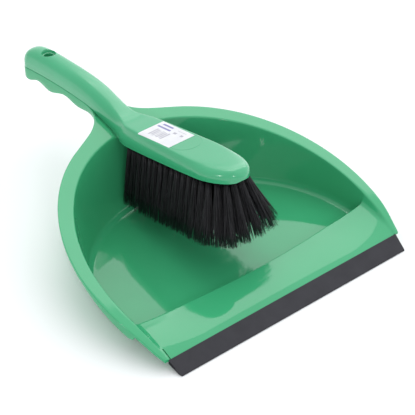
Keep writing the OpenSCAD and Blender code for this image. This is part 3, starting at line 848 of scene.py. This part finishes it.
# ---------------------------------------------------------------- materials
def surface(name, dark, light, rough, grain, bump, patch=14.0, metallic=0.0, coat=0.0,
            specular=0.5, stretch=(1, 1, 1)):
    """A moulded or drawn surface: colour clouds, roughness clouds and a fine bump.
    grain and patch are noise scales, and bump is a height in metres."""
    mat = bpy.data.materials.new(name)
    mat.use_nodes = True
    tree = mat.node_tree
    bsdf = tree.nodes["Principled BSDF"]
    bsdf.inputs["Metallic"].default_value = metallic
    bsdf.inputs["Coat Weight"].default_value = coat
    bsdf.inputs["Coat Roughness"].default_value = 0.1
    bsdf.inputs["Specular IOR Level"].default_value = specular
    where = tree.nodes.new("ShaderNodeTexCoord")
    scale = tree.nodes.new("ShaderNodeMapping")
    scale.inputs["Scale"].default_value = stretch
    tree.links.new(where.outputs["Object"], scale.inputs["Vector"])

    def noise(size, detail):
        made = tree.nodes.new("ShaderNodeTexNoise")
        made.inputs["Scale"].default_value = size
        made.inputs["Detail"].default_value = detail
        tree.links.new(scale.outputs["Vector"], made.inputs["Vector"])
        return made

    def blend(source, low, high, target):
        made = tree.nodes.new("ShaderNodeValToRGB")
        first, last = made.color_ramp.elements
        first.position, last.position = 0.35, 0.65
        first.color, last.color = (*low, 1), (*high, 1)
        tree.links.new(source.outputs["Fac"], made.inputs["Fac"])
        tree.links.new(made.outputs["Color"], bsdf.inputs[target])

    blend(noise(patch, 4), dark, light, "Base Color")
    blend(noise(patch * 3.1, 6), [rough[0]] * 3, [rough[1]] * 3, "Roughness")
    relief = tree.nodes.new("ShaderNodeBump")
    relief.inputs["Strength"].default_value = 0.35
    relief.inputs["Distance"].default_value = bump
    tree.links.new(noise(grain, 5).outputs["Fac"], relief.inputs["Height"])
    tree.links.new(relief.outputs["Normal"], bsdf.inputs["Normal"])
    return mat


pan_plastic = surface(
    "pan_plastic", (0.044, 0.37, 0.165), (0.050, 0.39, 0.177), rough=(0.03, 0.055),
    grain=900, bump=0.00002)
brush_plastic = surface(
    "brush_plastic", (0.044, 0.375, 0.175), (0.051, 0.40, 0.192), rough=(0.16, 0.24),
    grain=900, bump=0.00005, coat=0.4)
rubber = surface(
    "lip_rubber", (0.021, 0.020, 0.026), (0.027, 0.026, 0.033), rough=(0.45, 0.55),
    grain=1400, bump=0.00010, patch=60, specular=0.35)
fibre = surface(
    "bristle_fibre", (0.006, 0.006, 0.008), (0.014, 0.013, 0.017), rough=(0.3, 0.45),
    grain=600, bump=0.00003, patch=250, stretch=(1, 1, 0.1))
wire = surface(
    "anchor_wire", (0.5, 0.5, 0.52), (0.62, 0.62, 0.64), rough=(0.25, 0.4),
    grain=2500, bump=0.00002, metallic=1.0, patch=300)
paper = surface(
    "label_paper", (0.70, 0.70, 0.73), (0.76, 0.76, 0.78), rough=(0.5, 0.65),
    grain=1600, bump=0.00004, patch=120)
ink_blue = surface(
    "label_ink_blue", (0.19, 0.18, 0.40), (0.25, 0.24, 0.47), rough=(0.45, 0.6),
    grain=1600, bump=0.00003, patch=400)
ink_grey = surface(
    "label_ink_grey", (0.36, 0.35, 0.41), (0.46, 0.45, 0.50), rough=(0.5, 0.65),
    grain=1600, bump=0.00003, patch=400)
floor_paint = surface(
    "floor_paint", (0.92, 0.925, 0.93), (0.93, 0.935, 0.94), rough=(0.7, 0.8),
    grain=300, bump=0.00002, patch=3, specular=0.1)


# ---------------------------------------------------------------- camera and light
def look(at, aim):
    return (Vector(aim) - Vector(at)).to_track_quat("-Z", "Y")


def softbox(name, at, aim, size, power, roll=0.0):
    """A rectangular light at a place, turned to its aim and rolled about that line."""
    light = bpy.data.lights.new(name, "AREA")
    light.shape, light.size, light.size_y = "RECTANGLE", size[0], size[1]
    light.energy = power
    obj = bpy.data.objects.new(name, light)
    bpy.context.scene.collection.objects.link(obj)
    obj.location = at
    obj.rotation_euler = (look(at, aim) @ Quaternion((0, 0, 1), math.radians(roll))).to_euler()


def studio_camera(at, aim, lens):
    camera = bpy.data.objects.new("camera", bpy.data.cameras.new("camera"))
    bpy.context.scene.collection.objects.link(camera)
    camera.location = at
    camera.rotation_euler = look(at, aim).to_euler()
    camera.data.lens = lens
    camera.data.sensor_width = 36.0
    bpy.context.scene.camera = camera


def studio_world(bright_side, dim, bright):
    """The studio's walls: brighter towards bright_side, dimmer away from it."""
    world = bpy.data.worlds.new("studio")
    bpy.context.scene.world = world
    world.use_nodes = True
    tree = world.node_tree
    background = tree.nodes["Background"]
    background.inputs["Color"].default_value = (0.96, 0.985, 1.0, 1)
    direction = tree.nodes.new("ShaderNodeTexCoord")
    facing = tree.nodes.new("ShaderNodeVectorMath")
    facing.operation = "DOT_PRODUCT"
    facing.inputs[1].default_value = bright_side
    level = tree.nodes.new("ShaderNodeMapRange")
    level.inputs["To Min"].default_value = dim
    level.inputs["To Max"].default_value = bright
    tree.links.new(direction.outputs["Generated"], facing.inputs[0])
    tree.links.new(facing.outputs["Value"], level.inputs["Value"])
    tree.links.new(level.outputs["Result"], background.inputs["Strength"])


studio_camera(at=(-0.7747, -0.9645, 0.9024), aim=(0.03637, -0.02378, 0.0), lens=156.1)
bpy.context.scene.view_settings.view_transform = "Standard"
softbox("panel_high", (1.09, 0.67, 1.53), (0, 0, 0.02), size=(2.4, 0.75), power=8.2, roll=47)
softbox("panel_low", (1.06, 1.18, 1.21), (0, 0, 0.02), size=(2.4, 0.5), power=3.2, roll=47)
softbox("lamp_left", (-1.45, 0.1, 0.8), (0, 0, 0.05), size=(0.16, 0.16), power=2.4)
softbox("lamp_right", (-0.72, -1.25, 0.75), (0, 0, 0.05), size=(0.16, 0.16), power=2.0)
studio_world(bright_side=(0.8, 0.1, 0.6), dim=0.76, bright=1.42)

ground = Shell()
ground.grid([[(x, y, 0) for y in (-3000, 3000)] for x in (-3000, 3000)])
stage = ground.make("studio_floor")
stage.location.z = -0.0003
stage.data.materials.append(floor_paint)


# ---------------------------------------------------------------- pieces
def dress(obj, body, materials, cad_node):
    for m in materials:
        obj.data.materials.append(m)
    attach(obj, body)
    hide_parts(cad_node)


dress(pan_body(), "pan", [pan_plastic], "dustpan")
dress(rubber_lip(), "pan", [rubber], "rubber_lip")
dress(brush_body(), "brush", [brush_plastic], "brush_handle")
dress(paper_label(), "brush", [paper, ink_blue, ink_grey], "label")
for row in range(1, ROWS + 1):
    dress(bristle_row(row), "brush", [fibre], "tuft_row_%02d" % row)
    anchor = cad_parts["anchor_row_%02d" % row]
    anchor.data.materials.clear()
    anchor.data.materials.append(wire)
